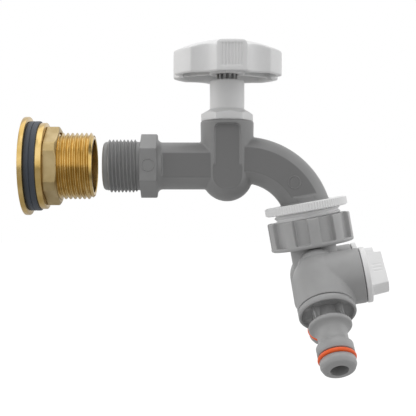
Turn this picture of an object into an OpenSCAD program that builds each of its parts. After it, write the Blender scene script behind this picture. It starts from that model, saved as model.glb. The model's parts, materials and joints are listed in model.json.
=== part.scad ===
// Water butt tap with a two-way splitter, shown with its brass wall fitting a little way off.
// Millimetres. X runs from the tank wall to the outlet, Z is up, Y runs through the two splitter arms.
// The origin is on the inlet axis, at the plane where the tank wall is clamped.

/* [Wall fitting] */
// Outside radius of the brass tube, over its one inch pipe thread
tube_r = 16.62; // [14:0.02:20]
// Radius of the hole through the brass tube, over the crests of the tap's thread
tube_bore_r = 13.30; // [12.6:0.02:13.6]
// Length of the brass tube from the clamping plane to its free end
tube_len = 29.4; // [24:0.1:40]
// Radius of the flange inside the tank
flange_r = 24.5; // [22:0.1:30]
// Thickness of the flange inside the tank
flange_t = 2.5; // [1.5:0.1:5]
// Outside radius of the two rubber washers
wall_washer_r = 22.3; // [20:0.1:28]
// Thickness of each rubber washer
wall_washer_t = 2.7; // [1:0.1:5]
// Outside radius of the brass slip ring
slip_ring_r = 21.5; // [20:0.1:28]
// Thickness of the brass slip ring
slip_ring_t = 3.1; // [1:0.1:5]
// Width of the backnut across its flats
backnut_af = 36.0; // [35:0.1:44]
// Radius that the corners of the backnut are turned down to
backnut_turned_r = 19.6; // [18.5:0.1:24]
// Thickness of the backnut
backnut_t = 6.7; // [4:0.1:10]

/* [Tap inlet] */
// Distance that the tap stands off the brass tube, before it is screwed in
shown_gap = 4.5; // [0.5:0.1:20]
// Length of the threaded spigot, from its free end to the hexagon collar
inlet_thread_len = 18.5; // [14:0.1:24]
// Length of the plain pilot ahead of the thread
pilot_len = 2.4; // [1:0.1:4]
// Depth of the thread, which the pilot and the runout are turned down by
thread_depth = 1.16; // [0.8:0.02:1.4]
// Radius of the waterway through the inlet
inlet_bore_r = 7.0; // [5:0.1:9]
// Width of the hexagon collar across its flats
collar_af = 27.7; // [27:0.1:34]
// Thickness of the hexagon collar
collar_t = 8.4; // [5:0.1:12]
// Outside radius of the round inlet pipe
pipe_r = 11.75; // [10.5:0.05:12.5]
// Distance from the pipe's axis to the flat panel on each side of pipe and spout
panel_depth = 10.1; // [9.2:0.05:10.4]
// Distance from the hexagon collar to the axis of the valve tower
collar_to_tower = 34.6; // [28:0.1:50]

/* [Valve tower] */
// Radius of the tower at its top
tower_top_r = 13.3; // [12.9:0.05:15]
// Radius of the round bottom of the tower
tower_ball_r = 12.9; // [12.7:0.05:14]
// Height of the tower's top over the inlet axis
tower_top_z = 22.5; // [20:0.1:30]
// Depth of the round bottom's centre under the inlet axis
tower_ball_drop = 4.75; // [3:0.05:6]
// Distance from the tower's axis to the floor of the keyhole panel
keyhole_depth = 10.7; // [10.2:0.05:11.2]
// Half width of the keyhole panel's straight part
keyhole_half_w = 6.3; // [4:0.1:7]
// Radius of the keyhole panel's round end
keyhole_end_r = 7.8; // [7.1:0.1:8]
// Radius of the valve chamber
chamber_r = 9.6; // [9.2:0.1:10]
// Radius of the hole in the valve seat
seat_hole_r = 5.0; // [4:0.1:6]
// Height that the seat's lip stands over the partition
seat_lip_h = 1.0; // [0.6:0.1:1.6]

/* [Spout] */
// Radius of the curve that the spout's centre line follows
spout_bend_r = 33.3; // [28:0.1:42]
// Distance from the tower's axis to the highest point of the bend
spout_crown = 8.0; // [6:0.1:14]
// Height of the spout's centre line over the inlet axis
spout_rise = 3.0; // [2:0.1:4]
// Outside radius of the spout
spout_r = 11.7; // [10.6:0.05:12.4]
// Angle between the outlet's axis and the vertical
outlet_tilt = 10; // [4:0.5:16]
// Angle of the bend's end, seen from the bend's centre, over the level
spout_end_angle = 21.4; // [18:0.1:26]
// Radius of the waterway through the spout
spout_bore_r = 7.0; // [5:0.1:8]
// Outside radius of the outlet's threaded spigot
outlet_thread_r = 13.2; // [12.6:0.02:13.4]
// Length of the outlet's threaded spigot
outlet_thread_len = 8.7; // [7:0.1:12]

/* [Bonnet] */
// Width of the bonnet's hexagon across its flats
bonnet_af = 22.7; // [21:0.1:25]
// Height of the bonnet's hexagon
bonnet_hex_h = 3.4; // [2.5:0.1:6]
// Height of the cone between the hexagon and the column
bonnet_cone_h = 2.2; // [1:0.1:4]
// Angle that the bonnet's hexagon stopped at when it was tightened
bonnet_turn = 4.4; // [0:0.2:59]
// Outside radius of the bonnet's column
column_r = 8.65; // [7.8:0.05:9.6]
// Height of the bonnet's top over the tower's top
bonnet_h = 20.2; // [17:0.1:28]

/* [Spindle and valve] */
// Radius of the spindle's smooth shaft and of its splines
spindle_r = 5.25; // [4.8:0.05:6]
// Radius of the spindle's lifting thread
spindle_thread_r = 6.3; // [6.2:0.05:6.6]
// Length of the spindle's lifting thread
spindle_thread_len = 9.0; // [6:0.1:9.8]
// Height that the valve lifts off its seat
valve_lift = 6.0; // [3:0.1:6.5]
// Number of splines on the spindle's head
spline_count = 12; // [8:1:16]
// Thickness of the rubber valve washer
valve_washer_t = 2.6; // [2:0.1:3.4]
// Radius of the rubber valve washer
valve_washer_r = 7.6; // [7.2:0.1:8.2]

/* [Handwheel] */
// Outside radius of the handwheel over its lobes
wheel_r = 27.5; // [24:0.1:34]
// Gap under the wheel's bottom edge when the tap is shut
wheel_gap = 1.4; // [0.6:0.1:4]
// Gap between the head of the wheel's screw and the cap over it
cap_gap = 1.25; // [0.5:0.05:3]
// Height of the wheel's dome over its side wall
dome_rise = 6.4; // [4:0.1:8]
// Height of the three ribbed lobes over the plain lobes' side wall
ribbed_rise = 3.1; // [1.5:0.1:3.3]
// Number of lobes
lobe_count = 6; // [4:2:10]
// Angle from the front of the tap to the first lobe
lobe_turn = 4; // [0:1:59]
// Radius of the hollow between two lobes
valley_r = 10.5; // [8:0.1:12]
// Depth of the hollow between two lobes
valley_depth = 3.3; // [1:0.1:4.5]
// Thickness of the wheel's wall
wheel_wall = 2.4; // [1.6:0.1:3]
// Radius of the wheel's hub
hub_r = 9.0; // [8.2:0.1:11]
// Number of grip grooves on a ribbed lobe
groove_count = 7; // [3:1:8]
// Distance from one grip groove to the next
groove_pitch = 1.5; // [1.35:0.05:1.8]

/* [Adapter and union] */
// Step from the union nut's ribs in to the adapter's knurled rim
rim_step = 0.15; // [0:0.05:1.5]
// Height of the adapter's knurled rim
adapter_rim_h = 4.3; // [3:0.1:7]
// Outside radius of the adapter's one inch thread
adapter_thread_r = 16.6; // [16.2:0.02:17]
// Depth of the lip under the adapter's seal
adapter_lip = 3.3; // [2:0.1:5]
// Length of the adapter's thread that shows over the nut
adapter_show = 3.5; // [1:0.1:4.2]
// Radius of the union nut over its ribs
nut_r = 20.75; // [20:0.05:25]
// Radius of the union nut between its ribs
nut_valley_r = 18.3; // [18:0.1:19.2]
// Thickness of the union nut's floor
nut_floor = 3.4; // [2:0.1:5]
// Number of ribs on the union nut
nut_rib_count = 10; // [6:1:16]
// Width of each rib on the union nut
nut_rib_w = 5.2; // [2.5:0.1:6]
// Height of the plain band round the foot of the union nut
nut_band_h = 1.9; // [1:0.1:4]
// Thickness of the flat rubber seals in the adapter and in the union
flat_seal_t = 2.0; // [1:0.1:2.2]

/* [Splitter] */
// Radius of the splitter's neck
neck_r = 11.5; // [10:0.05:12.5]
// Distance from the union nut's foot to the centres of the two valves, along the outlet
valve_below_nut = 16.3; // [15.6:0.1:28]
// Distance from the tap's middle plane to each valve's centre
valve_side = 21.0; // [19:0.1:28]
// Angle that the splitter is turned on the union, from square to the tap
splitter_turn = 3.5; // [-90:0.5:90]
// Angle that each arm splays from the outlet's axis
splay = 41; // [34:0.5:48]
// Radius of each valve housing
housing_r = 13.6; // [13:0.05:15]
// Distance from a valve's centre to the end of its housing, along the arm
housing_len = 15.8; // [15:0.1:22]
// Radius of the boss that carries a knob
boss_r = 13.2; // [12:0.05:14.5]
// Distance from a valve's centre to the end of its boss
boss_len = 19.8; // [18:0.1:28]
// Radius of the pipe that joins an arm to the neck
arm_r = 9.6; // [8.6:0.1:11]
// Radius of the waterway through the splitter
arm_bore_r = 5.0; // [4:0.1:5.5]
// Radius of the turning plug in each valve
plug_r = 9.0; // [8:0.05:9.4]

/* [Knobs] */
// Radius of a knob's disc
knob_r = 13.4; // [12:0.05:15]
// Thickness of a knob's disc
knob_disc_t = 2.7; // [2:0.1:4]
// Height of a knob's finger bar over its disc
knob_bar_h = 8.0; // [6:0.1:14]
// Thickness of a knob's finger bar
knob_bar_w = 8.4; // [6:0.1:12]
// Radius that the ends of a knob's finger bar follow
knob_bar_end_r = 10.6; // [9:0.1:12]

/* [Hose tails] */
// Radius of a hose tail's foot flange
tail_flange_r = 13.6; // [12.5:0.05:15]
// Height of a hose tail's foot flange
tail_flange_h = 3.0; // [2:0.1:4]
// Radius of a hose tail's collar
tail_collar_r = 10.1; // [9.4:0.1:11]
// Distance from a hose tail's foot to its collar
tail_rib_h = 8.4; // [6:0.1:12]
// Radius of the groove that a hose connector's catches hold
tail_neck_r = 7.05; // [6.6:0.05:7.4]
// Radius of the bead between the catch groove and the seal
tail_bead_r = 8.6; // [8.3:0.05:9]
// Radius of a hose tail's nose
tail_nose_r = 8.3; // [7.8:0.05:8.5]
// Distance from a hose tail's foot to the end of its nose
tail_len = 33.0; // [31:0.1:38]
// Radius of the waterway through a hose tail
tail_bore_r = 4.25; // [3.5:0.05:5]
// Thickness of the orange seal ring's cord
tail_o_ring_d = 2.0; // [1.6:0.1:2.4]

/* [Clearances] */
// Radial clearance between the tap's thread and the brass tube
thread_clearance = 0.08; // [0.04:0.01:0.12]
// Radial clearance of parts that turn or slide on each other
running_clearance = 0.05; // [0.02:0.01:0.1]
// Gap that a seated part keeps from its seat
seat_gap = 0.25; // [0.1:0.05:0.4]

/* [Hidden] */

$fn = 96;
fine = 48;
eps = 0.01;
brass = "#cdb06c";
rubber = "#3a4048";
body_grey = "#7b7b7b";
light_grey = "#cfcfcf";
pale_grey = "#e4e4e4";
fitting_grey = "#969696";
orange = "#ff6a30";
steel = "#b8bcc0";

near = -1;
far = 1;
cutter = 10;

// Wall fitting, along X
washer_bore_r = tube_r + 2 * running_clearance;
slip_ring_x = wall_washer_t;
backnut_x = slip_ring_x + slip_ring_t;
backnut_corner_r = backnut_af / sqrt(3);
backnut_turn = 3;

// Tap body, along X
inlet_start = tube_len + shown_gap;
inlet_thread_r = tube_bore_r - thread_clearance;
collar_x = inlet_start + inlet_thread_len;
collar_end_x = collar_x + collar_t;
collar_corner_r = collar_af / sqrt(3);
inlet_core_r = inlet_thread_r - thread_depth;
runout_len = 1.6;
collar_fillet_r = 2.4;
tower_x = collar_end_x + collar_to_tower;
panel_start_x = collar_end_x + collar_fillet_r;

// Spout, a bend about a centre below its straight start
bend_x = tower_x + spout_crown;
bend_z = spout_rise - spout_bend_r;
outlet_x = bend_x + spout_bend_r * cos(spout_end_angle);
outlet_z = bend_z + spout_bend_r * sin(spout_end_angle);
bend_start_angle = 90 + asin(spout_crown / spout_bend_r);
spigot_overlap = 3.0;
panel_end_gap = 3.2;

// Valve chamber and its partition
partition_t = 2.4;
partition_top_z = 1.2;
seat_z = partition_top_z + seat_lip_h;
seat_lip_w = 1.4;
chamber_ball_r = chamber_r + 0.8;

// Keyhole panel
keyhole_end_z = -tower_ball_drop + 0.9;
keyhole_top_z = tower_top_z - 2.0;
keyhole_corner_r = 2.75;

// Moulded circle marks on the collar and on the spout's panel
mark_r = 3.0;
mark_depth = 0.3;
mark_line = 0.35;
spout_mark_angle = 41.2;
spout_mark_r = 33.0;

// Bonnet, up the tower's axis
bonnet_corner_r = bonnet_af / sqrt(3);
bonnet_seal_t = 1.0;
bonnet_seal_w = 0.9;
bonnet_thread_r = chamber_r - running_clearance;
bonnet_seat_z = tower_top_z;
column_top_z = bonnet_seat_z + bonnet_h;
bonnet_cone_z = bonnet_seat_z + bonnet_hex_h;
column_z = bonnet_cone_z + bonnet_cone_h;
neck_bore_r = spindle_r + running_clearance;
lift_bore_r = spindle_thread_r + running_clearance;

// Valve stack, from the seat up
valve_washer_z = seat_z;
valve_plate_z = valve_washer_z + valve_washer_t;
valve_plate_t = 2.6;
valve_plate_r = valve_washer_r + 0.7;
jumper_stem_r = 2.8;
jumper_stem_len = 5.0;
washer_screw_r = 1.6;
washer_screw_head_r = 3.2;
washer_screw_head_t = 1.1;
washer_screw_len = 6.0;

// Spindle, from its foot to the wheel's screw
bonnet_bottom_z = valve_plate_z + valve_plate_t + valve_lift + 0.5;
spindle_bottom_z = valve_plate_z + valve_plate_t + seat_gap;
spindle_thread_z = bonnet_bottom_z + 0.6;
lift_bore_top_z = spindle_thread_z + spindle_thread_len + valve_lift + seat_gap;
spline_z = column_top_z - 0.4;
spline_depth = 0.75;
spline_gap = 1.3;
wheel_bottom_z = column_top_z + wheel_gap;
spindle_in_wheel = 11.0;
spindle_top_z = wheel_bottom_z + spindle_in_wheel;
o_ring_d = 1.6;
o_ring_groove_w = 1.1 * o_ring_d;
o_ring_groove_depth = o_ring_d + 0.02;
o_ring_z = [lift_bore_top_z + 1.6, lift_bore_top_z + 4.0];

// Handwheel, up the same axis
wheel_hub_lift = 1.4;
hub_bottom_z = wheel_bottom_z + wheel_hub_lift;
hub_web_z = spindle_top_z + seat_gap;
hub_web_t = 2.0;
wheel_screw_r = 2.0;
wheel_screw_head_r = 4.0;
wheel_screw_head_t = 1.7;
wheel_screw_len = 8.0;
cap_r = 7.6;
cap_t = 2.2;
cap_pocket_z = hub_web_z + hub_web_t;
cap_skirt_t = 1.4;
wheel_top_z = cap_pocket_z + wheel_screw_head_t + cap_gap + cap_t;
wheel_h = wheel_top_z - wheel_bottom_z;
ribbed_lobe_h = wheel_h - dome_rise + ribbed_rise;
dome_r = (wheel_r * wheel_r + dome_rise * dome_rise) / (2 * dome_rise);
lobe_step = 360 / lobe_count;
valley_at = wheel_r - valley_depth + valley_r;
lobe_half_angle = 15.8;
lobe_half_w = wheel_r * tan(lobe_half_angle);
shoulder_w = 2.7;
shoulder_h = 1.3;
groove_r = 0.6;
groove_bottom_z = wheel_bottom_z + 2.1;
groove_top_z = wheel_bottom_z + ribbed_lobe_h - 2.0;
web_t = 1.6;
web_lift = wheel_hub_lift + 0.4;

// Adapter and union, down the outlet
adapter_rim_r = nut_r - rim_step;
adapter_bore_r = outlet_thread_r + running_clearance;
adapter_mouth_r = 9.0;
adapter_step = outlet_thread_len + flat_seal_t;
adapter_len = adapter_step + adapter_lip;
nut_top = adapter_rim_h + adapter_show;
nut_bore_r = adapter_thread_r + running_clearance;
union_seal_r = adapter_thread_r - 0.6;
neck_top = adapter_len + flat_seal_t;
neck_land = 1.5;
neck_bore = 8.0;
ring_groove_r = neck_r - 1.2;
retaining_r = nut_bore_r - 1.0;
retaining_t = 1.4;
retaining_top = neck_top + neck_land;
nut_shoulder = retaining_top + retaining_t;
nut_bottom = nut_shoulder + nut_floor;
nut_h = nut_bottom - nut_top;
retaining_gap_angle = 50;
ring_groove_gap = 0.2;

// Splitter arms, each from its valve's centre
valve_drop = nut_bottom + valve_below_nut;
fork_swell = 0.4;
fork_drop = nut_bottom + arm_r + fork_swell + 0.2;
arm_back = (valve_drop - fork_drop) / cos(splay);
fork_side = valve_side - arm_back * sin(splay);
plug_bore_r = plug_r + running_clearance;
plug_back = plug_r - 0.5;
plug_len = boss_len - 3.0;
tail_socket_r = 9.0;
tail_socket_start = plug_r + 1.7;
drive_w = 8.0;
drive_len = 4.6;
plug_ring_x = [-7.2, 7.2, 13.0];

// Knob, out along the boss
knob_x = boss_len + seat_gap;
grip_count = 3;
grip_pitch = 1.9;
grip_r = 0.35;

// Hose tail, down along the arm
tail_gap = 0.4;
tail_start = housing_len + tail_gap;
tail_collar_s = tail_rib_h;
tail_collar_h = 2.2;
tail_neck_s = tail_collar_s + tail_collar_h + 3.6;
tail_neck_h = 4.0;
tail_bead_s = tail_neck_s + tail_neck_h + 1.9;
tail_bead_h = 5.2;
tail_groove_s = tail_bead_s + tail_bead_h;
tail_groove_w = tail_o_ring_d + 0.9;
tail_groove_r = tail_bead_r + 0.3 - tail_o_ring_d;
tail_nose_round = 2.2;
tail_core_r = 6.2;
tail_rib_w = 1.8;
tail_rib_r = 9.3;
tail_rim_t = 1.4;
tail_floor = 1.3;
tail_seal_t = 0.8;
tail_spigot_len = tail_start - tail_socket_start - tail_seal_t;

// Turns a piece drawn up Z so that it runs along X from a place on the inlet axis
module along_inlet(x) {
    translate([x, 0, 0]) rotate([0, 90, 0]) children();
}

// Places a piece on the valve tower's axis
module on_tower(z) {
    translate([tower_x, 0, z]) children();
}

// Places a piece at the outlet, with the flow along its own -Z
module at_outlet() {
    translate([outlet_x, 0, outlet_z]) rotate([0, -outlet_tilt, 0]) children();
}

// Places a piece at the outlet, turned with the splitter
module at_splitter() {
    at_outlet() rotate([0, 0, -splitter_turn]) children();
}

// Places a piece at one valve's centre, with the flow along -Z and the knob along +X
module at_valve(side) {
    at_splitter() translate([0, side * valve_side, -valve_drop])
        rotate([side * splay, 0, 0]) children();
}

// A cylinder that starts a distance down the flow and runs on down
module down(start, length, r) {
    translate([0, 0, -start - length]) cylinder(h = length, r = r);
}

// A cylinder along +X
module across(start, length, r) {
    translate([start, 0, 0]) rotate([0, 90, 0]) cylinder(h = length, r = r);
}

// A flat washer that stands up Z
module washer(r_out, r_in, h) {
    difference() {
        cylinder(h = h, r = r_out);
        translate([0, 0, -1]) cylinder(h = h + 2, r = r_in);
    }
}

// A disc whose two edges are bevelled
module bevelled_disc(r, h, bevel) {
    rotate_extrude()
        polygon([[0, 0], [r - bevel, 0], [r, bevel], [r, h - bevel], [r - bevel, h], [0, h]]);
}

// A hexagon prism whose corners are turned off by a cone at the top, the bottom or both
module turned_hexagon(corner_r, turned_r, h, bottom_cut, top_cut) {
    intersection() {
        cylinder(h = h, r = corner_r, $fn = 6);
        rotate_extrude()
            polygon([
                [0, 0], [turned_r - bottom_cut, 0], [turned_r, bottom_cut * 0.6],
                [turned_r, h - top_cut * 0.6], [turned_r - top_cut, h], [0, h]
            ]);
    }
}

// A round seal ring about Z
module o_ring(r_out, d) {
    rotate_extrude() translate([r_out - d / 2, 0]) circle(d = d, $fn = fine);
}

// A shallow circular line, cut into a face that looks along -Z
module circle_mark() {
    difference() {
        cylinder(h = 2 * mark_depth, r = mark_r + mark_line / 2, center = true);
        cylinder(h = 4 * mark_depth, r = mark_r - mark_line / 2, center = true);
    }
}

// The brass tube with its flange, which goes through the tank wall from inside
module bulkhead_tube() {
    flange_x = -wall_washer_t - flange_t;
    end_bevel = 1.2;
    color(brass)
        difference() {
            union() {
                along_inlet(flange_x) bevelled_disc(flange_r, flange_t, 0.5);
                along_inlet(flange_x) cylinder(h = tube_len - flange_x - end_bevel, r = tube_r);
                along_inlet(tube_len - end_bevel)
                    cylinder(h = end_bevel, r1 = tube_r, r2 = tube_r - end_bevel);
            }
            along_inlet(flange_x - 1) cylinder(h = tube_len - flange_x + 2, r = tube_bore_r);
        }
}

// The rubber washer on the tank's inner side
module inner_rubber_washer() {
    color(rubber)
        along_inlet(-wall_washer_t) washer(wall_washer_r, washer_bore_r, wall_washer_t);
}

// The rubber washer on the tank's outer side
module outer_rubber_washer() {
    color(rubber)
        along_inlet(0) washer(wall_washer_r, washer_bore_r, wall_washer_t);
}

// The brass ring that lets the nut turn without dragging the rubber
module slip_ring() {
    color(brass)
        along_inlet(slip_ring_x)
            difference() {
                bevelled_disc(slip_ring_r, slip_ring_t, 0.35);
                translate([0, 0, -1]) cylinder(h = slip_ring_t + 2, r = washer_bore_r);
            }
}

// The thin brass nut that clamps the tank wall
module backnut() {
    color(brass)
        along_inlet(backnut_x)
            difference() {
                rotate([0, 0, backnut_turn])
                    turned_hexagon(backnut_corner_r, backnut_turned_r, backnut_t, 0.3, 1.4);
                translate([0, 0, -1])
                    cylinder(h = backnut_t + 2, r = tube_r + running_clearance);
            }
}

// The tap's inlet spigot, with a rounded pilot and a runout at the collar
module inlet_spigot() {
    nose_round = 1.4;
    bevel = thread_depth;
    rotate([0, 90, 0])
        rotate_extrude()
            polygon([
                [0, inlet_start],
                [inlet_core_r - nose_round, inlet_start],
                [inlet_core_r - nose_round * 0.4, inlet_start + nose_round * 0.25],
                [inlet_core_r, inlet_start + nose_round],
                [inlet_core_r, inlet_start + pilot_len],
                [inlet_thread_r, inlet_start + pilot_len + bevel],
                [inlet_thread_r, collar_x - runout_len - bevel],
                [inlet_core_r, collar_x - runout_len],
                [inlet_core_r, collar_x + 1],
                [0, collar_x + 1]
            ]);
}

// The hexagon collar, with a hollow fillet where it meets the pipe
module inlet_collar() {
    along_inlet(collar_x)
        turned_hexagon(collar_corner_r, collar_corner_r + 0.2, collar_t, 0.5, 0.9);
    along_inlet(collar_end_x)
        rotate_extrude()
            difference() {
                square([pipe_r + collar_fillet_r, collar_fillet_r]);
                translate([pipe_r + collar_fillet_r, collar_fillet_r])
                    circle(r = collar_fillet_r, $fn = fine);
            }
}

// The round inlet pipe with a flat panel on its front and its back
module inlet_pipe() {
    length = tower_x - collar_end_x + 1;
    difference() {
        along_inlet(collar_end_x - 1) cylinder(h = length, r = pipe_r);
        for (side = [near, far])
            translate([panel_start_x, side * (panel_depth + cutter / 2) - cutter / 2, -pipe_r])
                cube([length, cutter, 2 * pipe_r]);
    }
}

// The outline of the keyhole panel, drawn with Z as its second axis
module keyhole_outline() {
    translate([0, keyhole_end_z]) circle(r = keyhole_end_r);
    translate([-keyhole_half_w, keyhole_end_z])
        square([2 * keyhole_half_w, keyhole_top_z - keyhole_corner_r - keyhole_end_z]);
    translate([-keyhole_half_w + keyhole_corner_r, keyhole_end_z])
        square([2 * (keyhole_half_w - keyhole_corner_r), keyhole_top_z - keyhole_end_z]);
    for (side = [-1, 1])
        translate([side * (keyhole_half_w - keyhole_corner_r), keyhole_top_z - keyhole_corner_r])
            circle(r = keyhole_corner_r, $fn = fine);
}

// The upright valve tower with its round bottom and the two keyhole panels
module tower() {
    rim_round = 1.0;
    difference() {
        on_tower(0) {
            rotate_extrude()
                polygon([
                    [0, -tower_ball_drop],
                    [tower_ball_r, -tower_ball_drop],
                    [tower_top_r, tower_top_z - rim_round],
                    [tower_top_r - rim_round * 0.3, tower_top_z - rim_round * 0.3],
                    [tower_top_r - rim_round, tower_top_z],
                    [0, tower_top_z]
                ]);
            translate([0, 0, -tower_ball_drop]) sphere(r = tower_ball_r);
        }
        for (side = [near, far])
            on_tower(0) translate([0, side * (keyhole_depth + cutter / 2) + cutter / 2, 0])
                rotate([90, 0, 0]) linear_extrude(cutter) keyhole_outline();
    }
}

// A ring about the bend's centre, from one angle to another, with a given cross section
module bend(from_angle, to_angle) {
    translate([bend_x, 0, bend_z]) rotate([90, 0, 0])
        rotate([0, 0, from_angle])
            rotate_extrude(angle = to_angle - from_angle) children();
}

// A slab that keeps only what lies over a level across the outlet
module above_outlet(lift) {
    reach = 4 * spout_bend_r;
    at_outlet() translate([-reach, -reach, lift]) cube([2 * reach, 2 * reach, reach]);
}

// The curved spout with its side panels, and the threaded spigot at its end
module spout() {
    intersection() {
        difference() {
            bend(0, bend_start_angle) translate([spout_bend_r, 0]) circle(r = spout_r);
            intersection() {
                above_outlet(panel_end_gap);
                for (side = [near, far])
                    translate([tower_x, side * (panel_depth + cutter / 2) - cutter / 2, bend_z])
                        cube([2 * spout_bend_r, cutter, 2 * spout_bend_r]);
            }
        }
        above_outlet(-spigot_overlap);
    }
    at_outlet() {
        down(0, outlet_thread_len - 1, outlet_thread_r);
        translate([0, 0, -outlet_thread_len])
            cylinder(h = 1, r1 = outlet_thread_r - thread_depth, r2 = outlet_thread_r);
    }
}

// The waterways: inlet, chamber under and over the seat, tower bore and spout
module waterways() {
    along_inlet(inlet_start - 1)
        cylinder(h = tower_x - inlet_start - 1, r = inlet_bore_r);
    on_tower(0) {
        translate([0, 0, partition_top_z]) cylinder(h = tower_top_z, r = chamber_r);
        translate([0, 0, partition_top_z - partition_t]) sphere(r = chamber_ball_r);
    }
    bend(spout_end_angle - 6, bend_start_angle - 4)
        translate([spout_bend_r, 0]) circle(r = spout_bore_r);
    at_outlet() down(-1, outlet_thread_len + 2, spout_bore_r + 1);
}

// The stepped wall between inlet and outlet, with the seat's hole and raised lip
module partition() {
    wall_t = 2.2;
    half = chamber_ball_r + 1;
    floor_z = partition_top_z - partition_t;
    on_tower(0)
        difference() {
            union() {
                translate([-half, -half, floor_z]) cube([2 * half, 2 * half, partition_t]);
                translate([-half, -half, floor_z]) cube([wall_t, 2 * half, half]);
                translate([half - wall_t, -half, -half]) cube([wall_t, 2 * half, half]);
                translate([0, 0, floor_z])
                    cylinder(h = partition_t + seat_lip_h, r = seat_hole_r + seat_lip_w);
            }
            translate([0, 0, -half]) cylinder(h = 2 * half, r = seat_hole_r);
        }
}

// The tap's moulded body
module tap_body() {
    color(body_grey)
        difference() {
            union() {
                inlet_spigot();
                inlet_collar();
                inlet_pipe();
                tower();
                spout();
            }
            difference() {
                waterways();
                intersection() {
                    partition();
                    on_tower(-tower_ball_drop) sphere(r = tower_ball_r + 3);
                }
            }
            for (side = [near, far])
                translate([collar_x + collar_t / 2, side * collar_af / 2, 0])
                    rotate([90, 0, 0]) circle_mark();
            translate([
                bend_x + spout_mark_r * cos(spout_mark_angle), near * panel_depth,
                bend_z + spout_mark_r * sin(spout_mark_angle)
            ])
                rotate([90, 0, 0]) circle_mark();
        }
}

// The screwed bonnet that closes the tower and guides the spindle
module bonnet() {
    color(light_grey)
        on_tower(0)
            difference() {
                union() {
                    translate([0, 0, bonnet_bottom_z])
                        cylinder(h = bonnet_seat_z - bonnet_bottom_z + 1, r = bonnet_thread_r);
                    translate([0, 0, bonnet_seat_z])
                        rotate([0, 0, bonnet_turn])
                            cylinder(h = bonnet_hex_h, r = bonnet_corner_r, $fn = 6);
                    intersection() {
                        translate([0, 0, bonnet_seat_z])
                            rotate([0, 0, bonnet_turn])
                                cylinder(h = column_z, r = bonnet_corner_r, $fn = 6);
                        translate([0, 0, bonnet_cone_z])
                            cylinder(
                                h = bonnet_cone_h,
                                r1 = bonnet_corner_r - 0.4, r2 = column_r + 0.3
                            );
                    }
                    rotate_extrude()
                        polygon([
                            [0, bonnet_cone_z],
                            [column_r, bonnet_cone_z],
                            [column_r, column_top_z - 0.5],
                            [column_r - 0.5, column_top_z],
                            [0, column_top_z]
                        ]);
                }
                translate([0, 0, bonnet_bottom_z - 1])
                    cylinder(h = lift_bore_top_z - bonnet_bottom_z + 1, r = lift_bore_r);
                translate([0, 0, bonnet_bottom_z])
                    cylinder(h = column_top_z, r = neck_bore_r);
                translate([0, 0, tower_top_z - bonnet_seal_t])
                    washer(bonnet_thread_r + 1, bonnet_thread_r - bonnet_seal_w, bonnet_seal_t);
            }
}

// The ring that seals the bonnet's thread against the tower
module bonnet_seal() {
    color(rubber)
        on_tower(tower_top_z - bonnet_seal_t + eps)
            washer(bonnet_thread_r, bonnet_thread_r - bonnet_seal_w, bonnet_seal_t - 2 * eps);
}

// The outline of the spindle's splines
module spline_outline() {
    difference() {
        circle(r = spindle_r);
        for (i = [0 : spline_count - 1])
            rotate(i * 360 / spline_count)
                translate([spindle_r - spline_depth, -spline_gap / 2])
                    square([spline_depth + 1, spline_gap]);
    }
}

// The spindle: foot, lifting thread, shaft with seal grooves and splined head
module spindle() {
    color(body_grey)
        on_tower(0)
            difference() {
                union() {
                    translate([0, 0, spindle_bottom_z])
                        cylinder(h = spindle_thread_z - spindle_bottom_z + 1, r = spindle_r);
                    translate([0, 0, spindle_thread_z])
                        cylinder(h = spindle_thread_len, r = spindle_thread_r);
                    translate([0, 0, spindle_thread_z + spindle_thread_len])
                        cylinder(h = spline_z - spindle_thread_z - spindle_thread_len, r = spindle_r);
                    translate([0, 0, spline_z])
                        linear_extrude(spindle_top_z - spline_z) spline_outline();
                }
                for (z = o_ring_z)
                    translate([0, 0, z - o_ring_groove_w / 2])
                        washer(spindle_r + 1, spindle_r - o_ring_groove_depth, o_ring_groove_w);
                translate([0, 0, spindle_bottom_z - 1])
                    cylinder(h = jumper_stem_len + 1, r = jumper_stem_r + running_clearance);
                translate([0, 0, spindle_top_z - wheel_screw_len])
                    cylinder(h = wheel_screw_len + 1, r = wheel_screw_r + running_clearance);
            }
}

// The two seal rings on the spindle's shaft
module spindle_o_rings() {
    color(rubber)
        for (z = o_ring_z)
            on_tower(z) o_ring(spindle_r, o_ring_d);
}

// The valve plate, whose stem turns in the spindle's foot
module valve_plate() {
    color(fitting_grey)
        on_tower(valve_plate_z)
            difference() {
                union() {
                    bevelled_disc(valve_plate_r, valve_plate_t, 0.4);
                    cylinder(h = valve_plate_t + jumper_stem_len, r = jumper_stem_r);
                }
                translate([0, 0, -1])
                    cylinder(h = washer_screw_len, r = washer_screw_r + running_clearance);
            }
}

// The rubber washer that closes the seat
module valve_washer() {
    color(rubber)
        on_tower(valve_washer_z) washer(valve_washer_r, washer_screw_r + 0.3, valve_washer_t);
}

// The screw that holds the rubber washer to its plate
module valve_washer_screw() {
    color(steel)
        on_tower(valve_washer_z - washer_screw_head_t) {
            cylinder(h = washer_screw_head_t, r1 = washer_screw_head_r - 0.5, r2 = washer_screw_head_r);
            cylinder(h = washer_screw_head_t + washer_screw_len - 1, r = washer_screw_r);
        }
}

// The outline that the wheel's lobes and hollows follow, shrunk by a wall
module lobe_outline(inset) {
    difference() {
        circle(r = wheel_r - inset);
        for (i = [0 : lobe_count - 1])
            rotate(-90 + lobe_turn + (i + 0.5) * lobe_step)
                translate([valley_at, 0]) circle(r = valley_r + inset);
    }
}

// The domed solid that the wheel is cut from, shrunk by a wall
module wheel_dome(inset) {
    intersection() {
        on_tower(wheel_bottom_z) linear_extrude(wheel_h) lobe_outline(inset);
        on_tower(wheel_top_z - dome_r) sphere(r = dome_r - inset, $fn = 160);
    }
}

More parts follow.
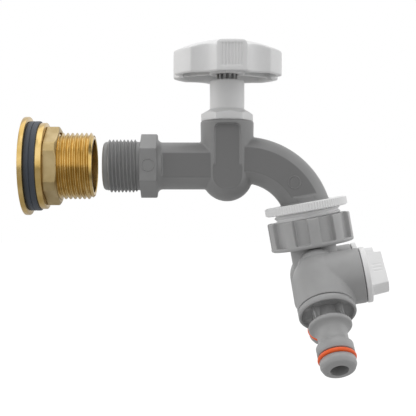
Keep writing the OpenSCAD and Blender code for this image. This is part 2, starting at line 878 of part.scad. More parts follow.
// One ribbed lobe, which stands higher than the dome at the rim
module ribbed_lobe(angle) {
    reach = wheel_r + 5;
    half_w = reach * tan(lobe_half_angle);
    intersection() {
        on_tower(wheel_bottom_z) linear_extrude(ribbed_lobe_h) lobe_outline(0);
        on_tower(wheel_bottom_z - 1) rotate([0, 0, angle]) linear_extrude(wheel_h + 2)
            polygon([[0, 0], [reach, -half_w], [reach, half_w]]);
        on_tower(wheel_bottom_z)
            rotate_extrude()
                polygon([
                    [0, -1], [wheel_r + 1, -1],
                    [wheel_r + 1, ribbed_lobe_h - 3.4],
                    [wheel_r - 0.5, ribbed_lobe_h - 0.4],
                    [wheel_r - 1.6, ribbed_lobe_h],
                    [0, ribbed_lobe_h]
                ]);
        on_tower(wheel_bottom_z)
            rotate([90, 0, 90 + angle]) linear_extrude(reach)
                polygon([
                    [-lobe_half_w, -1], [lobe_half_w, -1],
                    [lobe_half_w, ribbed_lobe_h - shoulder_h],
                    [lobe_half_w - 2 * shoulder_w, ribbed_lobe_h + shoulder_h],
                    [2 * shoulder_w - lobe_half_w, ribbed_lobe_h + shoulder_h],
                    [-lobe_half_w, ribbed_lobe_h - shoulder_h]
                ]);
    }
}

// The grip grooves on one ribbed lobe
module grip_grooves(angle) {
    step = groove_pitch * 180 / (PI * wheel_r);
    for (i = [0 : groove_count - 1])
        on_tower(groove_bottom_z) rotate([0, 0, angle + (i - (groove_count - 1) / 2) * step])
            translate([wheel_r, 0, 0])
                cylinder(h = groove_top_z - groove_bottom_z, r = groove_r, $fn = 24);
}

// The lobed handwheel: a domed shell with a hub, webs and grip grooves
module handwheel() {
    ribbed = [for (i = [0 : 2 : lobe_count - 1]) -90 + lobe_turn + i * lobe_step];
    plain = [for (i = [1 : 2 : lobe_count - 1]) -90 + lobe_turn + i * lobe_step];
    color(light_grey)
        difference() {
            union() {
                difference() {
                    union() {
                        wheel_dome(0);
                        for (angle = ribbed) ribbed_lobe(angle);
                    }
                    translate([0, 0, -eps]) wheel_dome(wheel_wall);
                }
                intersection() {
                    wheel_dome(wheel_wall / 2);
                    on_tower(0) {
                        translate([0, 0, hub_bottom_z]) cylinder(h = wheel_h, r = hub_r);
                        for (angle = concat(ribbed, plain))
                            rotate([0, 0, angle])
                                translate([0, -web_t / 2, wheel_bottom_z + web_lift])
                                    cube([wheel_r, web_t, wheel_h]);
                    }
                }
            }
            for (angle = ribbed) grip_grooves(angle);
            on_tower(hub_bottom_z - 1)
                cylinder(h = hub_web_z - hub_bottom_z + 1, r = spindle_r + running_clearance);
            on_tower(hub_bottom_z) cylinder(h = wheel_h, r = wheel_screw_r + 0.4);
            on_tower(cap_pocket_z) cylinder(h = wheel_h, r = cap_r + running_clearance);
        }
}

// The screw that holds the wheel down on the spindle
module handwheel_screw() {
    cross_len = 4;
    cross_w = 0.8;
    cross_depth = 0.9;
    color(steel)
        on_tower(cap_pocket_z - wheel_screw_len + wheel_screw_head_t)
            difference() {
                union() {
                    cylinder(h = wheel_screw_len, r = wheel_screw_r);
                    translate([0, 0, wheel_screw_len - wheel_screw_head_t])
                        cylinder(h = wheel_screw_head_t, r = wheel_screw_head_r);
                }
                for (a = [0, 90])
                    rotate([0, 0, a])
                        translate([-cross_len / 2, -cross_w / 2, wheel_screw_len - cross_depth])
                            cube([cross_len, cross_w, 2 * cross_depth]);
            }
}

// The plain cap that snaps in over the wheel's screw
module handwheel_cap() {
    skirt_z = cap_pocket_z + seat_gap;
    color(light_grey)
        intersection() {
            difference() {
                on_tower(skirt_z) cylinder(h = wheel_h, r = cap_r);
                on_tower(skirt_z - 1)
                    cylinder(h = wheel_top_z - cap_t - skirt_z + 1, r = cap_r - cap_skirt_t);
            }
            on_tower(wheel_top_z - dome_r) sphere(r = dome_r, $fn = 160);
        }
}

// The adapter from the tap's outlet thread to the larger union thread
module adapter_ring() {
    color(pale_grey)
        at_outlet()
            difference() {
                union() {
                    translate([0, 0, -adapter_rim_h])
                        bevelled_disc(adapter_rim_r, adapter_rim_h, 0.5);
                    down(adapter_rim_h - 1, adapter_len - adapter_rim_h, adapter_thread_r);
                    translate([0, 0, -adapter_len])
                        cylinder(h = 1, r1 = adapter_thread_r - 1, r2 = adapter_thread_r);
                }
                down(-1, adapter_step + 1, adapter_bore_r);
                down(0, adapter_len + 1, adapter_mouth_r);
            }
}

// The flat seal between the tap's outlet and the adapter
module adapter_seal() {
    color(rubber)
        at_outlet() translate([0, 0, -adapter_step])
            washer(outlet_thread_r - 0.3, adapter_mouth_r, flat_seal_t);
}

// One square grip rib of the union nut, with its foot on the plain band
module nut_rib(angle) {
    rotate([0, 0, angle])
        translate([nut_valley_r - 1, -nut_rib_w / 2, 0])
            cube([nut_r - nut_valley_r + 2, nut_rib_w, nut_h]);
}

// The ribbed union nut that turns on the splitter's neck
module union_nut() {
    rim = 0.5;
    foot = 1.1;
    color(fitting_grey)
        at_outlet()
            difference() {
                translate([0, 0, -nut_bottom])
                    intersection() {
                        union() {
                            cylinder(h = nut_h, r = nut_valley_r);
                            cylinder(h = nut_band_h, r = nut_r);
                            for (i = [0 : nut_rib_count - 1]) nut_rib(-90 + i * 360 / nut_rib_count);
                        }
                        rotate_extrude()
                            polygon([
                                [0, 0], [nut_r - foot, 0], [nut_r - foot * 0.3, foot * 0.3],
                                [nut_r, foot], [nut_r, nut_h - rim], [nut_r - rim, nut_h], [0, nut_h]
                            ]);
                    }
                down(nut_top - 1, nut_shoulder - nut_top + 1, nut_bore_r);
                down(nut_top, nut_h + 1, neck_r + running_clearance);
            }
}

// The flat seal between the adapter's end and the splitter's neck
module union_seal() {
    color(rubber)
        at_outlet() translate([0, 0, -neck_top])
            washer(union_seal_r, adapter_mouth_r, flat_seal_t);
}

// The split ring in the neck's groove, which the union nut pulls on
module union_retaining_ring() {
    reach = 2 * retaining_r;
    half_w = reach * tan(retaining_gap_angle / 2);
    color(steel)
        at_outlet()
            difference() {
                translate([0, 0, -retaining_top - retaining_t])
                    washer(retaining_r, ring_groove_r + running_clearance, retaining_t);
                translate([0, 0, -nut_bottom]) linear_extrude(nut_h)
                    polygon([[0, 0], [reach, -half_w], [reach, half_w]]);
            }
}

// A pipe along Y between the two arms' upper ends, rounded where each arm turns down
module fork_pipe(r) {
    at_splitter() translate([0, 0, -fork_drop]) {
        rotate([90, 0, 0]) cylinder(h = 2 * fork_side, r = r, center = true);
        for (side = [near, far])
            translate([0, side * fork_side, 0]) sphere(r = r + fork_swell);
    }
}

// The outside of one splitter arm: pipe, round valve housing and knob boss
module splitter_arm(side) {
    at_valve(side) {
        cylinder(h = arm_back, r = arm_r);
        sphere(r = housing_r);
        down(0, housing_len, housing_r);
        across(0, boss_len, boss_r);
    }
}

// The hollows of one splitter arm: waterway, plug bore and hose tail socket
module splitter_arm_hollows(side) {
    at_valve(side) {
        cylinder(h = arm_back, r = arm_bore_r);
        down(0, housing_len + 1, arm_bore_r);
        down(tail_socket_start, housing_len, tail_socket_r);
        across(-plug_back, plug_back + boss_len + 1, plug_bore_r);
    }
}

// The splitter's moulded body, a neck that forks into two valve housings
module splitter_body() {
    color(fitting_grey)
        difference() {
            union() {
                at_outlet() down(neck_top, fork_drop - neck_top, neck_r);
                fork_pipe(arm_r);
                for (side = [near, far]) splitter_arm(side);
            }
            at_outlet() {
                down(neck_top - 1, fork_drop - neck_top + 1, neck_bore);
                translate([0, 0, -retaining_top - retaining_t - ring_groove_gap])
                    washer(neck_r + 1, ring_groove_r, retaining_t + 2 * ring_groove_gap);
            }
            fork_pipe(arm_bore_r);
            for (side = [near, far]) splitter_arm_hollows(side);
        }
}

// The turning plug of one valve, with its waterway and its drive for the knob
module valve_plug(side) {
    color(pale_grey)
        at_valve(side)
            difference() {
                union() {
                    across(-plug_back + seat_gap, plug_back + plug_len - seat_gap, plug_r);
                    translate([plug_len - 1, -drive_w / 2, -drive_w / 2])
                        cube([drive_len + 1, drive_w, drive_w]);
                }
                translate([0, 0, -2 * plug_r]) cylinder(h = 4 * plug_r, r = arm_bore_r);
                for (x = plug_ring_x)
                    translate([x - o_ring_groove_w / 2, 0, 0]) rotate([0, 90, 0])
                        washer(plug_r + 1, plug_r - o_ring_groove_depth, o_ring_groove_w);
            }
}

// The three seal rings on one valve's plug
module plug_o_rings(side) {
    color(rubber)
        at_valve(side)
            for (x = plug_ring_x)
                translate([x, 0, 0]) rotate([0, 90, 0])
                    o_ring(plug_r, o_ring_d);
}

// One valve's knob: a disc with a finger bar in line with the flow
module valve_knob(side) {
    socket_w = drive_w + 2 * running_clearance;
    color(pale_grey)
        at_valve(side)
            difference() {
                union() {
                    translate([knob_x, 0, 0]) rotate([0, 90, 0])
                        bevelled_disc(knob_r, knob_disc_t, 0.4);
                    intersection() {
                        translate([knob_x + 1, -knob_bar_w / 2, -knob_r])
                            cube([knob_disc_t + knob_bar_h - 1, knob_bar_w, 2 * knob_r]);
                        translate([knob_x, 0, 0]) rotate([0, 90, 0])
                            cylinder(
                                h = knob_disc_t + knob_bar_h,
                                r1 = knob_bar_end_r + 0.4, r2 = knob_bar_end_r - 0.6
                            );
                    }
                    across(plug_len + seat_gap, knob_x - plug_len, plug_r - 0.6);
                }
                translate([plug_len - 1, -socket_w / 2, -socket_w / 2])
                    cube([drive_len + 1 + seat_gap, socket_w, socket_w]);
                for (face = [-1, 1], i = [0 : grip_count - 1])
                    translate([
                        knob_x + knob_disc_t + 2.2, face * (knob_bar_w / 2 + 0.1),
                        (i - (grip_count - 1) / 2) * grip_pitch
                    ])
                        rotate([0, 90, 0])
                            cylinder(h = knob_bar_h - 3.4, r = grip_r, $fn = 24);
            }
}

// The outline of a hose tail, as radius and distance down from its foot
module tail_outline() {
    neck_end = tail_neck_s + tail_neck_h;
    polygon([
        [tail_bore_r, -tail_len],
        [tail_nose_r - tail_nose_round, -tail_len],
        [tail_nose_r - tail_nose_round * 0.4, -tail_len + tail_nose_round * 0.3],
        [tail_nose_r, -tail_len + tail_nose_round * 1.1],
        [tail_nose_r, -tail_groove_s - tail_groove_w],
        [tail_groove_r, -tail_groove_s - tail_groove_w],
        [tail_groove_r, -tail_groove_s],
        [tail_bead_r - 0.3, -tail_groove_s],
        [tail_bead_r, -tail_groove_s + 0.3],
        [tail_bead_r, -tail_bead_s - 0.5],
        [tail_bead_r - 0.5, -tail_bead_s],
        [tail_neck_r, -neck_end],
        [tail_neck_r, -tail_neck_s],
        [tail_neck_r + 0.5, -tail_neck_s + 1.7],
        [tail_neck_r + 1.6, -tail_neck_s + 3.0],
        [tail_collar_r - 0.5, -tail_collar_s - tail_collar_h],
        [tail_collar_r, -tail_collar_s - tail_collar_h + 0.6],
        [tail_collar_r, -tail_collar_s - 0.4],
        [tail_collar_r - 0.4, -tail_collar_s],
        [tail_core_r, -tail_collar_s],
        [tail_core_r, -tail_floor],
        [tail_flange_r - tail_rim_t, -tail_floor],
        [tail_flange_r - tail_rim_t, -tail_flange_h],
        [tail_flange_r - 0.5, -tail_flange_h],
        [tail_flange_r, -tail_flange_h + 0.5],
        [tail_flange_r, -0.3],
        [tail_flange_r - 0.3, 0],
        [tail_socket_r - running_clearance, 0],
        [tail_socket_r - running_clearance, tail_spigot_len],
        [tail_bore_r + 0.8, tail_spigot_len],
        [tail_bore_r, tail_spigot_len - 1]
    ]);
}

// One hose tail, for a push-on hose connector
module hose_tail(side) {
    color(fitting_grey)
        at_valve(side) translate([0, 0, -tail_start]) {
            rotate_extrude() tail_outline();
            difference() {
                for (a = [45, 135])
                    rotate([0, 0, a])
                        translate([-tail_rib_r, -tail_rib_w / 2, -tail_collar_s - 0.5])
                            cube([2 * tail_rib_r, tail_rib_w, tail_collar_s + 0.5 - tail_floor / 2]);
                translate([0, 0, -tail_len]) cylinder(h = tail_len + 1, r = tail_core_r - 0.5);
            }
        }
}

// The flat seal at the bottom of one hose tail's socket
module tail_seal(side) {
    color(rubber)
        at_valve(side) translate([0, 0, -tail_socket_start - tail_seal_t])
            washer(tail_socket_r - running_clearance, tail_bore_r + 1, tail_seal_t);
}

// The orange seal ring near the nose of one hose tail
module connector_o_ring(side) {
    color(orange)
        at_valve(side) translate([0, 0, -tail_start - tail_groove_s - tail_groove_w / 2])
            o_ring(tail_bead_r + 0.3, tail_o_ring_d);
}

bulkhead_tube();
inner_rubber_washer();
outer_rubber_washer();
slip_ring();
backnut();
tap_body();
bonnet();
bonnet_seal();
spindle();
spindle_o_rings();
valve_plate();
valve_washer();
valve_washer_screw();
handwheel();
handwheel_screw();
handwheel_cap();
adapter_ring();
adapter_seal();
union_nut();
union_seal();
union_retaining_ring();
splitter_body();
valve_plug(near);  // near_valve_plug
plug_o_rings(near);  // near_plug_o_rings
valve_knob(near);  // near_valve_knob
hose_tail(near);  // near_hose_tail
tail_seal(near);  // near_tail_seal
connector_o_ring(near);  // near_connector_o_ring
valve_plug(far);  // far_valve_plug
plug_o_rings(far);  // far_plug_o_rings
valve_knob(far);  // far_valve_knob
hose_tail(far);  // far_hose_tail
tail_seal(far);  // far_tail_seal
connector_o_ring(far);  // far_connector_o_ring
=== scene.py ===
# %% [markdown]
# Water butt tap with a splitter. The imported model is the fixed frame: every object here is in metres,
# in the same place as the solids. X runs from the tank to the outlet, Z is up, and the camera looks along +Y.
# The moulded plastic pieces are remeshed copies of their solids, because real mouldings have soft edges and
# small fillets that the exact solids leave out. The turned and threaded pieces are spun from profiles.

# %% Load the frame
import json
import math
import bmesh
import bpy
from mathutils import Matrix, Vector


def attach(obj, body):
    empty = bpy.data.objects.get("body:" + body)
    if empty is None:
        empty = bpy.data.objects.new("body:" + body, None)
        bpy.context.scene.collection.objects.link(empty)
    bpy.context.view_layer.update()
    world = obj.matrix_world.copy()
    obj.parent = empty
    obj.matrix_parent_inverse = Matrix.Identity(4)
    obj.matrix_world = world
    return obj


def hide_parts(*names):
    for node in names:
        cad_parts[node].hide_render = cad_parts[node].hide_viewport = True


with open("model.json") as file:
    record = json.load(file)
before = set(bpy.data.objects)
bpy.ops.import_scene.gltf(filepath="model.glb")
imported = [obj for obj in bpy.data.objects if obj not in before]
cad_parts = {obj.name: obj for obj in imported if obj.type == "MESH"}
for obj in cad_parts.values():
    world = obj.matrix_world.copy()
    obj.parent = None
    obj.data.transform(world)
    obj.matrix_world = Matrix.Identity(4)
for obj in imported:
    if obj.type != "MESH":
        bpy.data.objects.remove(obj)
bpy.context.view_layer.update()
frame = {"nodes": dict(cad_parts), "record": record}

MM = 0.001

# %% [markdown]
# The photograph is taken square from the front, with a long lens and little perspective. The lens, the
# distance and the height were worked out from the circles of the flange, the wheel and the splitter.

# %% Camera
camera_data = bpy.data.cameras.new("camera")
camera_data.lens = 82.2
camera_data.sensor_width = 36.0
camera_data.clip_start = 0.01
camera = bpy.data.objects.new("camera", camera_data)
bpy.context.collection.objects.link(camera)
camera.location = (0.08585, -0.475, -0.021)
camera.rotation_euler = (math.radians(90), 0, 0)
bpy.context.scene.camera = camera
print("camera at", tuple(round(c, 4) for c in camera.location))

# %% [markdown]
# A few helpers make every mesh. `finished` turns a bmesh into an object that rides on a body and, where nodes
# are named, stands for their solids. Normals are recalculated on merged meshes only, so that every face points
# outwards. `spun` turns a closed profile about Z, as a lathe would, and `place` lays the result where it goes.

# %% Mesh helpers
def finished(name, bm, body, slot, *nodes, smooth_angle=32):
    bmesh.ops.remove_doubles(bm, verts=bm.verts, dist=1e-7)
    bmesh.ops.recalc_face_normals(bm, faces=bm.faces)
    mesh = bpy.data.meshes.new(name)
    bm.to_mesh(mesh)
    bm.free()
    mesh.shade_smooth()
    mesh.set_sharp_from_angle(angle=math.radians(smooth_angle))
    piece = bpy.data.objects.new(name, mesh)
    bpy.context.collection.objects.link(piece)
    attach(piece, body)
    if nodes:
        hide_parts(*nodes)
    print(name, len(mesh.polygons), "faces")
    return piece


def from_solid(node):
    bm = bmesh.new()
    bm.from_mesh(frame["nodes"][node].data)
    bmesh.ops.remove_doubles(bm, verts=bm.verts, dist=1e-6)
    return bm


def spun(bm, profile, steps=128):
    """Spins a closed profile of (radius, height) in millimetres about Z."""
    verts = [bm.verts.new((r * MM, 0, h * MM)) for r, h in profile]
    edges = [bm.edges.new((verts[i - 1], verts[i])) for i in range(len(verts))]
    bmesh.ops.spin(
        bm, geom=verts + edges, cent=(0, 0, 0), axis=(0, 0, 1), dvec=(0, 0, 0),
        angle=2 * math.pi, steps=steps, use_merge=True)


def place(bm, matrix):
    bmesh.ops.transform(bm, matrix=matrix, verts=bm.verts)


# %% [markdown]
# Injection-moulded pieces have no knife-sharp edges: the tool is polished and every inner corner carries a
# fillet. A voxel remesh of the solid, followed by a few smoothing passes, rounds all edges and fills all
# corners by about the size of one voxel, which is how such a piece looks. A bevel on the boolean mesh would
# fail at its thin triangles. The remesh can leave a crumb of a few faces inside a wall, which is swept away,
# and the largest pieces are thinned afterwards, where they are flat, to keep their files small.

# %% Moulded copy of a solid
def through_modifier(bm, kind, settings):
    mesh = bpy.data.meshes.new("carrier")
    bm.to_mesh(mesh)
    bm.free()
    carrier = bpy.data.objects.new("carrier", mesh)
    bpy.context.collection.objects.link(carrier)
    modifier = carrier.modifiers.new("step", kind)
    for setting, value in settings.items():
        setattr(modifier, setting, value)
    depsgraph = bpy.context.evaluated_depsgraph_get()
    result = bmesh.new()
    result.from_mesh(carrier.evaluated_get(depsgraph).to_mesh())
    bpy.data.objects.remove(carrier)
    bpy.data.meshes.remove(mesh)
    return result


def smooth(bm, verts, passes):
    for _ in range(passes):
        bmesh.ops.smooth_vert(
            bm, verts=verts, factor=0.5, use_axis_x=True, use_axis_y=True, use_axis_z=True)


def remeshed(bm, voxel, passes):
    result = through_modifier(bm, "REMESH", {"mode": "VOXEL", "voxel_size": voxel * MM})
    smooth(result, result.verts, passes)
    return result


def thinned(bm, most_triangles=190000):
    triangles = sum(len(face.verts) - 2 for face in bm.faces)
    if triangles <= most_triangles:
        return bm
    return through_modifier(bm, "DECIMATE", {"ratio": most_triangles / triangles})


def without_crumbs(bm, fewest_verts=100):
    left = set(bm.verts)
    while left:
        island = [left.pop()]
        for v in island:
            for edge in v.link_edges:
                other = edge.other_vert(v)
                if other in left:
                    left.remove(other)
                    island.append(other)
        if len(island) < fewest_verts:
            bmesh.ops.delete(bm, geom=island, context="VERTS")
    return bm


def moulded(name, node, body, slot, voxel, passes):
    shape = thinned(without_crumbs(remeshed(from_solid(node), voxel, passes)))
    return finished(name, shape, body, slot, node, smooth_angle=60)

# %% [markdown]
# The inlet's axis lies along X. The outlet leans ten degrees forward. These matrices put pieces that are spun
# about Z where the solids are.

# %% Places
TO_INLET = Matrix.Rotation(math.radians(90), 4, "Y")
OUTLET = Matrix.Translation((0.134404, 0, -0.018150)) @ Matrix.Rotation(math.radians(-10), 4, "Y")
TOWER_X = 95.4 * MM
print("outlet axis", tuple(round(c, 4) for c in (OUTLET.to_3x3() @ Vector((0, 0, -1)))))

# %% [markdown]
# A pipe thread is a ridge that climbs one pitch in each turn. One pitch of its profile is spun with a little
# lift at every step, so the turns join into one skin. Both ends are cut square, and the crests there are
# turned down to the root at an angle, as the lathe or the mould leaves them. A tube just under the root joins
# the two ends, so the ridge is a closed sleeve that is laid over its piece.

# %% Thread
RIDGE = [(0, 0), (0.05, 0.02), (0.10, 0.09), (0.42, 0.91), (0.46, 0.98), (0.50, 1),
         (0.54, 0.98), (0.58, 0.91), (0.90, 0.09), (0.95, 0.02), (1, 0)]
UNDER_ROOT = 0.02


def thread(bm, root, crest, pitch, start, end, lead_in, lead_out, steps=96):
    turns = math.ceil((end - start) / pitch) + 2
    base = start - 1.5 * pitch
    verts = [bm.verts.new(((root + (crest - root) * k) * MM, 0, (base + s * pitch) * MM))
             for s, k in RIDGE]
    edges = [bm.edges.new((a, b)) for a, b in zip(verts, verts[1:])]
    bmesh.ops.spin(
        bm, geom=verts + edges, cent=(0, 0, 0), axis=(0, 0, 1), dvec=(0, 0, pitch * MM / steps),
        angle=2 * math.pi * turns, steps=steps * turns, use_merge=False)
    bmesh.ops.remove_doubles(bm, verts=bm.verts, dist=2e-6)
    for height, side in ((start, -1), (end, 1)):
        bmesh.ops.bisect_plane(
            bm, geom=bm.verts[:] + bm.edges[:] + bm.faces[:], plane_co=(0, 0, height * MM),
            plane_no=(0, 0, side), clear_outer=True)
    for v in bm.verts:
        r = math.hypot(v.co.x, v.co.y)
        from_start = v.co.z / MM - start
        to_end = end - v.co.z / MM
        rise = min(from_start / lead_in, to_end / lead_out, 1.0)
        allowed = root - UNDER_ROOT + rise * (crest - root + UNDER_ROOT)
        if r > allowed * MM:
            v.co.x *= allowed * MM / r
            v.co.y *= allowed * MM / r
    bmesh.ops.bridge_loops(bm, edges=[e for e in bm.edges if e.is_boundary])


def lay_thread_over(bm, *sizes):
    sleeve = bmesh.new()
    thread(sleeve, *sizes)
    mesh = bpy.data.meshes.new("sleeve")
    sleeve.to_mesh(mesh)
    sleeve.free()
    bm.from_mesh(mesh)
    bpy.data.meshes.remove(mesh)

# %% [markdown]
# The bulkhead tube is turned from brass bar: a thin flange, a plain bore and an inch pipe thread outside.
# It is spun in one piece to the thread's root, and the thread, of 2.309 mm pitch, is laid over it.

# %% Bulkhead tube
bm = bmesh.new()
spun(bm, [
    (13.3, -5.2), (24.1, -5.2), (24.38, -5.1), (24.5, -4.8), (24.5, -3.1), (24.38, -2.82), (24.1, -2.7),
    (16.5, -2.7), (16.5, 5.6), (15.2, 6.6), (15.2, 28.6), (14.6, 29.3), (14.2, 29.4),
    (13.7, 29.4), (13.3, 29.0)])
lay_thread_over(bm, 15.18, 16.62, 2.309, 5.7, 29.2, 0.9, 1.5)
place(bm, TO_INLET)
tube = finished("turned_brass_tube", bm, "wall_fitting", "brass", "bulkhead_tube")

# %% [markdown]
# The two rubber washers and the brass slip ring between them and the nut are plain rings with softened
# edges, so each is one spun profile.

# %% Washers and slip ring
def ring(name, body, slot, node, r_in, r_out, x0, x1, soft):
    bm = bmesh.new()
    spun(bm, [
        (r_in, x0), (r_out - soft, x0), (r_out - 0.3 * soft, x0 + 0.3 * soft), (r_out, x0 + soft),
        (r_out, x1 - soft), (r_out - 0.3 * soft, x1 - 0.3 * soft), (r_out - soft, x1), (r_in, x1)])
    place(bm, TO_INLET)
    return finished(name, bm, body, slot, node)


inner_washer = ring("moulded_inner_washer", "wall_fitting", "black_rubber", "inner_rubber_washer",
                    16.72, 22.3, -2.7, 0, 0.35)
outer_washer = ring("moulded_outer_washer", "clamp_stack", "black_rubber", "outer_rubber_washer",
                    16.72, 22.3, 0, 2.7, 0.35)
slip = ring("turned_slip_ring", "clamp_stack", "brass", "slip_ring", 16.72, 21.5, 2.7, 5.8, 0.3)

# %% [markdown]
# The backnut, bonnet, union nut, splitter and knobs keep the shape of their solids, with the soft edges of
# their making. Smaller voxels keep the grip grooves and the ribs.

# %% Soft-edged copies
backnut = moulded("milled_backnut", "backnut", "backnut", "brass", 0.25, 2)
bonnet = moulded("moulded_bonnet", "bonnet", "tap", "light_grey_plastic", 0.3, 2)
nut = moulded("moulded_union_nut", "union_nut", "union_nut", "mid_grey_plastic", 0.26, 1)
splitter = moulded("moulded_splitter", "splitter_body", "splitter", "mid_grey_plastic", 0.38, 1)
near_knob = moulded("near_moulded_knob", "near_valve_knob", "near_valve", "pale_grey_plastic", 0.25, 2)
far_knob = moulded("far_moulded_knob", "far_valve_knob", "far_valve", "pale_grey_plastic", 0.25, 2)

# %% [markdown]
# The wheel's lobes run softly into the hollows between them, while the grip grooves on the three ribbed lobes
# stay crisp. So all of the wheel is smoothed further, apart from those grips, which lie at the rim within a
# few degrees of three directions.

# %% Handwheel
GRIP_DIRECTIONS = (-86, 34, 154)
GRIP_HALF_ANGLE = 13.5
GRIP_INNER_R = 26.3 * MM


def on_grip(v):
    radius = math.hypot(v.co.x - TOWER_X, v.co.y)
    turn = math.degrees(math.atan2(v.co.y, v.co.x - TOWER_X))
    off_grip = min(abs((turn - grip + 180) % 360 - 180) for grip in GRIP_DIRECTIONS)
    return radius > GRIP_INNER_R and off_grip < GRIP_HALF_ANGLE


wheel_bm = remeshed(from_solid("handwheel"), 0.36, 1)
smooth(wheel_bm, [v for v in wheel_bm.verts if not on_grip(v)], 8)
wheel = finished(
    "moulded_handwheel", thinned(wheel_bm), "handwheel", "light_grey_plastic", "handwheel", smooth_angle=60)

# %% [markdown]
# The tap's body is one moulding. On the solid, a thin corner of the spout's first face stands a millimetre
# proud of each keyhole panel, and no real moulding shows it, so the remeshed copy has those few points pressed
# flat. The threaded spigot needs a real helix, so the copy is also cut off just inside the hexagon collar,
# and the cut's outer and inner rims are bridged.

# %% Tap body
KEYHOLE_FLOOR_Y = 10.7 * MM
SPIGOT_CUT_X = 51.9 * MM


def in_corner(co):
    return (abs(co.x - 95 * MM) < 1.7 * MM and 1.4 * MM < co.z < 7.6 * MM
            and 10.3 * MM < abs(co.y) < 12 * MM)


body_bm = remeshed(from_solid("tap_body"), 0.36, 0)
corner = [v for v in body_bm.verts if in_corner(v.co)]
for v in corner:
    v.co.y = math.copysign(KEYHOLE_FLOOR_Y, v.co.y)
print("points pressed back into the keyhole panels:", len(corner))
smooth(body_bm, body_bm.verts, 1)
cut = bmesh.ops.bisect_plane(
    body_bm, geom=body_bm.verts[:] + body_bm.edges[:] + body_bm.faces[:],
    plane_co=(SPIGOT_CUT_X, 0, 0), plane_no=(-1, 0, 0), clear_outer=True)
bmesh.ops.bridge_loops(
    body_bm, edges=[e for e in cut["geom_cut"] if isinstance(e, bmesh.types.BMEdge)])
tap = finished("moulded_tap_body", thinned(body_bm), "tap", "dark_grey_plastic", "tap_body", smooth_angle=60)

# %% [markdown]
# The spigot is part of the same moulding: a sleeve with a rounded nose and a three quarter inch pipe thread of
# 1.814 mm pitch. It is spun like the brass tube, and reaches a millimetre into the collar.

# %% Threaded spigot
bm = bmesh.new()
spun(bm, [
    (7.0, 34.1), (7.2, 33.9), (10.6, 33.9), (11.3, 34.1), (11.8, 34.6), (12.06, 35.3),
    (12.06, 52.9), (7.0, 52.9)])
lay_thread_over(bm, 12.04, 13.22, 1.814, 35.9, 50.9, 0.9, 0.9)
place(bm, TO_INLET)
spigot = finished("moulded_inlet_thread", bm, "tap", "dark_grey_plastic")

# %% [markdown]
# Two round marks of the moulding tool show, one on the collar and one on the spout. Each is a fine raised ring
# of 6 mm, half sunk in the surface, so it is an eight-sided torus, spun and turned to face the front.

# %% Tool marks
def tool_mark(name, x, y, z, mark_r=3.0, half_width=0.3, height=0.24):
    bm = bmesh.new()
    eighths = [a * math.pi / 4 for a in range(8)]
    spun(bm, [(mark_r + half_width * math.cos(a), height * math.sin(a)) for a in eighths], 64)
    place(bm, Matrix.Translation((x * MM, y * MM, z * MM)) @ Matrix.Rotation(math.radians(90), 4, "X"))
    return finished(name, bm, "tap", "dark_grey_plastic", smooth_angle=60)


collar_mark = tool_mark("collar_tool_mark", 56.6, -13.85, 0)
spout_mark = tool_mark("spout_tool_mark", 128.2, -10.1, -8.4)

# %% [markdown]
# The adapter is a pale ring with a knurled rim and a coarse outside thread, of which two turns show over the
# union nut. The rim is a circle whose every other corner stands out, pulled down into a drum.

# %% Adapter ring
RIM_TOOTH_R, RIM_GAP_R = 20.55, 20.22
RIM_TOP, RIM_HEIGHT = -0.45, 3.4
RIM_TEETH = 96

bm = bmesh.new()
spun(bm, [
    (13.25, 0), (19.6, 0), (20.0, -0.3), (20.0, -4.0), (19.6, -4.3), (15.6, -4.3),
    (15.6, -13.4), (15.0, -14.0), (9.0, -14.0), (9.0, -10.7), (13.25, -10.7)])
lay_thread_over(bm, 15.55, 16.6, 2.309, -13.8, -4.2, 0.9, 0.4)
rim = bmesh.ops.create_circle(bm, cap_ends=True, radius=RIM_TOOTH_R * MM, segments=2 * RIM_TEETH)["verts"]
for v in rim[1::2]:
    v.co *= RIM_GAP_R / RIM_TOOTH_R
pulled = bmesh.ops.extrude_face_region(bm, geom=[rim[0].link_faces[0]])
lower_rim = [v for v in pulled["geom"] if isinstance(v, bmesh.types.BMVert)]
bmesh.ops.translate(bm, verts=lower_rim, vec=(0, 0, -RIM_HEIGHT * MM))
bmesh.ops.translate(bm, verts=lower_rim + rim, vec=(0, 0, RIM_TOP * MM))
place(bm, OUTLET)
adapter = finished("moulded_adapter_ring", bm, "tap", "pale_grey_plastic", "adapter_ring")

# %% [markdown]
# The smaller solids that show keep their exact shape, the wheel's cap among them. A merged copy with smooth
# shading and sharp creases replaces the loose triangles, so that round faces look round.

# %% Exact copy of a solid, and the cap
def exact(name, node, body, slot, angle=30):
    return finished(name, from_solid(node), body, slot, node, smooth_angle=angle)


cap = exact("moulded_cap", "handwheel_cap", "handwheel", "light_grey_plastic")

# %% [markdown]
# Of the stem, only the shaft between bonnet and wheel shows. Its hidden threaded part is drawn a little
# narrower, most of all at its top, so that it clears the bonnet's rounded inner corner when the valve is open.

# %% Stem
STEM_THREAD_R = 6.3 * MM
STEM_THREAD_MIDDLE_Z = 20 * MM

stem_bm = from_solid("spindle")
for v in stem_bm.verts:
    if abs(math.hypot(v.co.x - TOWER_X, v.co.y) - STEM_THREAD_R) < 0.02 * MM:
        narrower = 0.92 if v.co.z > STEM_THREAD_MIDDLE_Z else 0.97
        v.co.x = TOWER_X + (v.co.x - TOWER_X) * narrower
        v.co.y *= narrower
stem = finished("moulded_spindle", stem_bm, "handwheel", "dark_grey_plastic", "spindle", smooth_angle=30)

# %% [markdown]
# The hose tails are round mouldings with a waist, where a connector's claws grip, and an orange ring in a
# groove near the nose. Their solids are turned profiles already, so they too are copied as they are.

